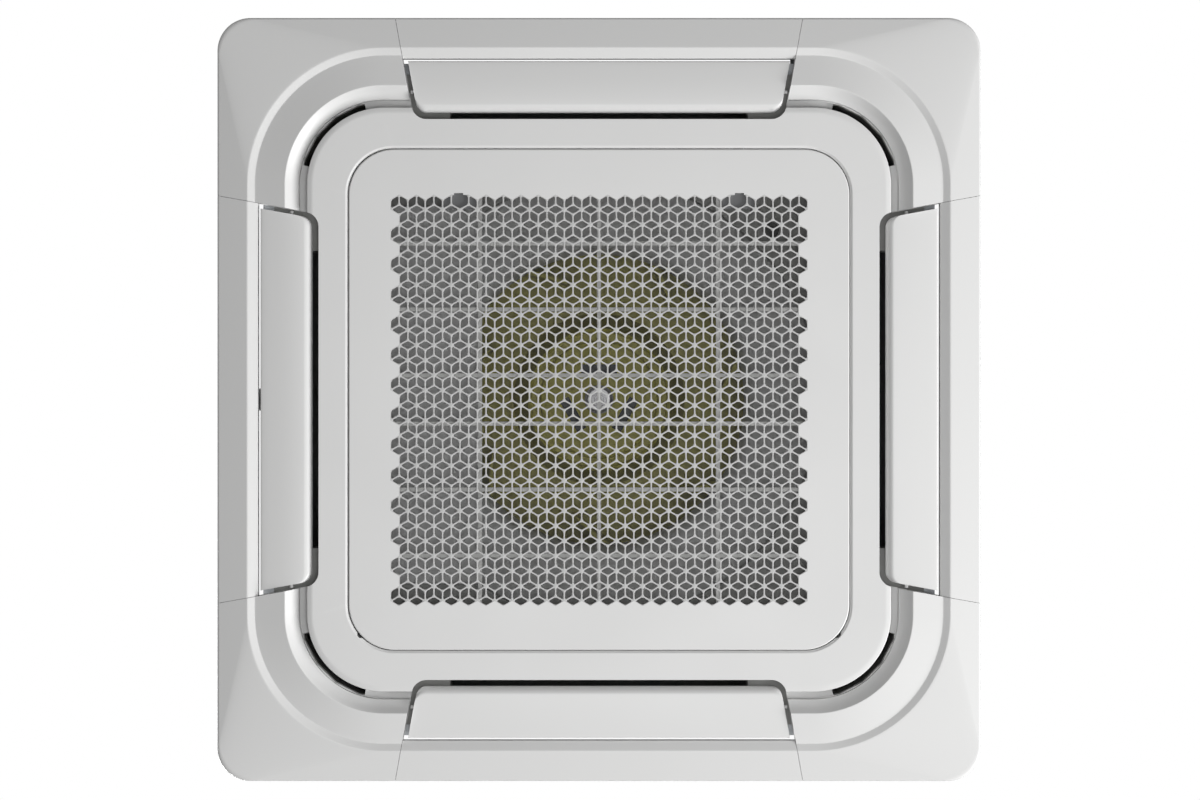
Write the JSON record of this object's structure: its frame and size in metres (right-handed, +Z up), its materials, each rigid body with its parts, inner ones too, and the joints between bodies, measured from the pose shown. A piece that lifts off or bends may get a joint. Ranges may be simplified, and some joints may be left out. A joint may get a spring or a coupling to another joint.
{
  "type": "ceiling cassette air conditioner",
  "caption": "Square ceiling air conditioner: hinged hexagon-pattern intake grille, tilting air vanes on every side and lift-off corner covers on a cut-corner metal body.",
  "frame": {"origin": "centre of the finished ceiling's lower face, where the back of the panel's flange lies", "axes": "+Z up into the ceiling void, +Y towards the intake grille's hinged edge, +X towards the refrigerant pipes"},
  "size_m": [0.95, 0.95, 0.3263],
  "materials": {
    "panel_white": "satin moulded plastic",
    "vane_white": "satin moulded plastic",
    "motor_white": "moulded plastic",
    "dark_plastic": "dark grey moulded plastic",
    "filter_plastic": "grey moulded plastic",
    "filter_weave": "fine woven net",
    "foam": "closed-cell foam",
    "galvanised": "galvanised sheet",
    "pan_foam": "moulded foam",
    "light_plastic": "moulded plastic",
    "fan_olive": "moulded plastic",
    "steel": "turned steel",
    "motor_paint": "painted steel",
    "rubber_black": "black rubber",
    "coil_aluminium": "thin stacked fins",
    "copper": "drawn copper tube",
    "brass_nut": "turned brass",
    "board_green": "printed board"
  },
  "bodies": {
    "root": {"panel_frame": "panel_white", "panel_seal": "foam", "vane_motor_right": "motor_white", "vane_motor_hinge": "motor_white", "vane_motor_left": "motor_white", "vane_motor_latch": "motor_white", "grille_hinge_left": "panel_white", "grille_hinge_right": "panel_white", "casing_shell": "galvanised", "casing_top": "galvanised", "insulation_liner": "foam", "drain_pan": "pan_foam", "drain_plug": "rubber_black", "hanger_right_hinge": "galvanised", "hanger_left_hinge": "galvanised", "hanger_left_latch": "galvanised", "hanger_right_latch": "galvanised", "bell_mouth": "dark_plastic", "motor_housing": "motor_paint", "motor_mount": "galvanised", "motor_grommet_1": "rubber_black", "motor_grommet_2": "rubber_black", "motor_grommet_3": "rubber_black", "coil": "coil_aluminium", "coil_end_plate": "copper", "gas_header": "copper", "liquid_distributor": "copper", "gas_pipe": "copper", "liquid_pipe": "copper", "gas_flare_nut": "brass_nut", "liquid_flare_nut": "brass_nut", "pump_body": "dark_plastic", "pump_bracket": "galvanised", "drain_hose": "rubber_black", "drain_outlet": "dark_plastic", "float_stem": "light_plastic", "electrical_box": "galvanised", "electrical_cover": "dark_plastic", "control_board": "board_green", "terminal_block": "dark_plastic", "cable_gland": "rubber_black"},
    "grille": {"intake_grille": "panel_white"},
    "filter": {"filter_frame": "filter_plastic", "filter_net": "filter_weave"},
    "latch_left": {"grille_latch_left": "dark_plastic"},
    "latch_right": {"grille_latch_right": "dark_plastic"},
    "fan": {"fan_wheel": "fan_olive", "fan_washer": "steel", "fan_nut": "steel", "motor_shaft": "steel"},
    "impeller": {"pump_impeller": "light_plastic"},
    "float": {"float_ring": "dark_plastic"},
    "vane_right_body": {"vane_right": "vane_white"},
    "vane_hinge_body": {"vane_hinge": "vane_white"},
    "vane_left_body": {"vane_left": "vane_white"},
    "vane_latch_body": {"vane_latch": "vane_white"},
    "cover_right_hinge": {"corner_cover_right_hinge": "panel_white"},
    "cover_left_hinge": {"corner_cover_left_hinge": "panel_white"},
    "cover_left_latch": {"corner_cover_left_latch": "panel_white"},
    "cover_right_latch": {"corner_cover_right_latch": "panel_white"}
  },
  "joints": [
    {"name": "vane_right_swing", "type": "hinge", "parent": "root", "child": "vane_right_body", "pos_m": [0.383, 0, -0.008], "axis": [0, 1, 0], "range_deg": [0, 40]},
    {"name": "vane_hinge_swing", "type": "hinge", "parent": "root", "child": "vane_hinge_body", "pos_m": [0, 0.383, -0.008], "axis": [-1, 0, 0], "range_deg": [0, 40]},
    {"name": "vane_left_swing", "type": "hinge", "parent": "root", "child": "vane_left_body", "pos_m": [-0.383, 0, -0.008], "axis": [0, -1, 0], "range_deg": [0, 40]},
    {"name": "vane_latch_swing", "type": "hinge", "parent": "root", "child": "vane_latch_body", "pos_m": [0, -0.383, -0.008], "axis": [1, 0, 0], "range_deg": [0, 40]},
    {"name": "grille_hinge", "type": "hinge", "parent": "root", "child": "grille", "pos_m": [0, 0.292, -0.0185], "axis": [1, 0, 0], "range_deg": [0, 85]},
    {"name": "filter_release", "type": "slide", "parent": "grille", "child": "filter", "axis": [0, -1, 0], "range_m": [0, 0.005]},
    {"name": "latch_left_slide", "type": "slide", "parent": "grille", "child": "latch_left", "axis": [0, 1, 0], "range_m": [0, 0.0065], "stiffness_N_per_m": 150},
    {"name": "latch_right_slide", "type": "slide", "parent": "grille", "child": "latch_right", "axis": [0, 1, 0], "range_m": [0, 0.0065], "stiffness_N_per_m": 150},
    {"name": "fan_spin", "type": "hinge", "parent": "root", "child": "fan", "pos_m": [0, 0, 0.15], "axis": [0, 0, 1], "continuous": true},
    {"name": "impeller_spin", "type": "hinge", "parent": "root", "child": "impeller", "pos_m": [0.232, -0.232, 0.05], "axis": [0, 0, 1], "continuous": true},
    {"name": "float_lift", "type": "slide", "parent": "root", "child": "float", "axis": [0, 0, 1], "range_m": [0, 0.02]},
    {"name": "cover_right_hinge_off", "type": "slide", "parent": "root", "child": "cover_right_hinge", "axis": [0, 0, -1], "range_m": [0, 0.04]},
    {"name": "cover_left_hinge_off", "type": "slide", "parent": "root", "child": "cover_left_hinge", "axis": [0, 0, -1], "range_m": [0, 0.04]},
    {"name": "cover_left_latch_off", "type": "slide", "parent": "root", "child": "cover_left_latch", "axis": [0, 0, -1], "range_m": [0, 0.04]},
    {"name": "cover_right_latch_off", "type": "slide", "parent": "root", "child": "cover_right_latch", "axis": [0, 0, -1], "range_m": [0, 0.04]}
  ]
}
